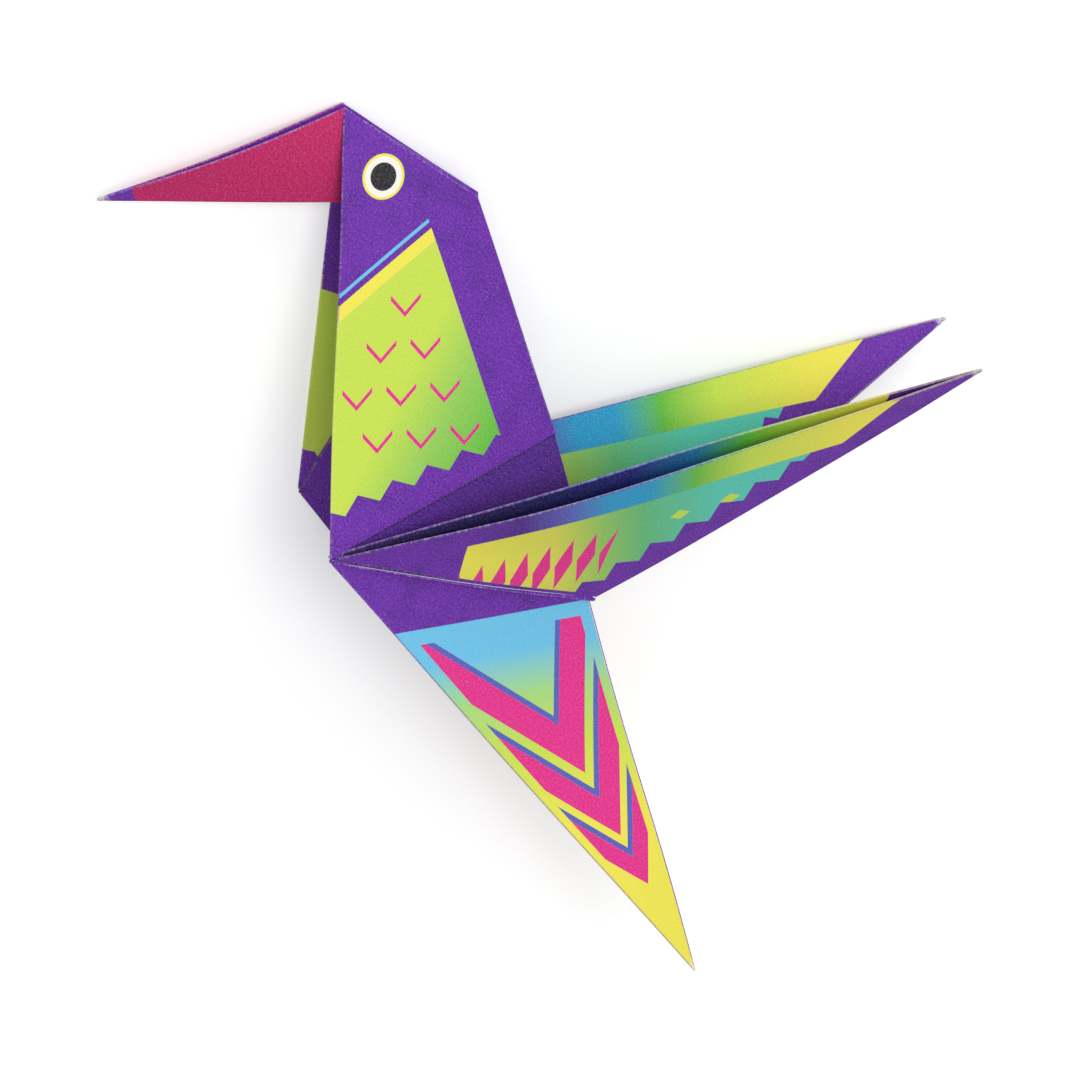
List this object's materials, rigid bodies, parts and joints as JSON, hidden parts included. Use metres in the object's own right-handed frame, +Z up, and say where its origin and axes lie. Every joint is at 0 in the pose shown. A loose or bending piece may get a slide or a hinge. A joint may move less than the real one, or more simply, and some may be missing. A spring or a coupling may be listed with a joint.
{
  "type": "origami hummingbird",
  "caption": "Bird folded from one printed paper square: an open channel body, long narrow beak, two slotted wings swept back and a long pointed tail, lying on its side",
  "frame": {"origin": "centre of the bounding box's bottom face, on the surface that the bird lies on", "axes": "+X runs along the spine from the tail's tip to the head, +Y to the open front of the body, on the beak's side, and +Z up from the surface"},
  "size_m": [0.1208, 0.0924, 0.0221],
  "materials": {
    "printed_paper": "matt printed paper"
  },
  "bodies": {
    "root": {"folded_sheet": "printed_paper"}
  },
  "joints": []
}
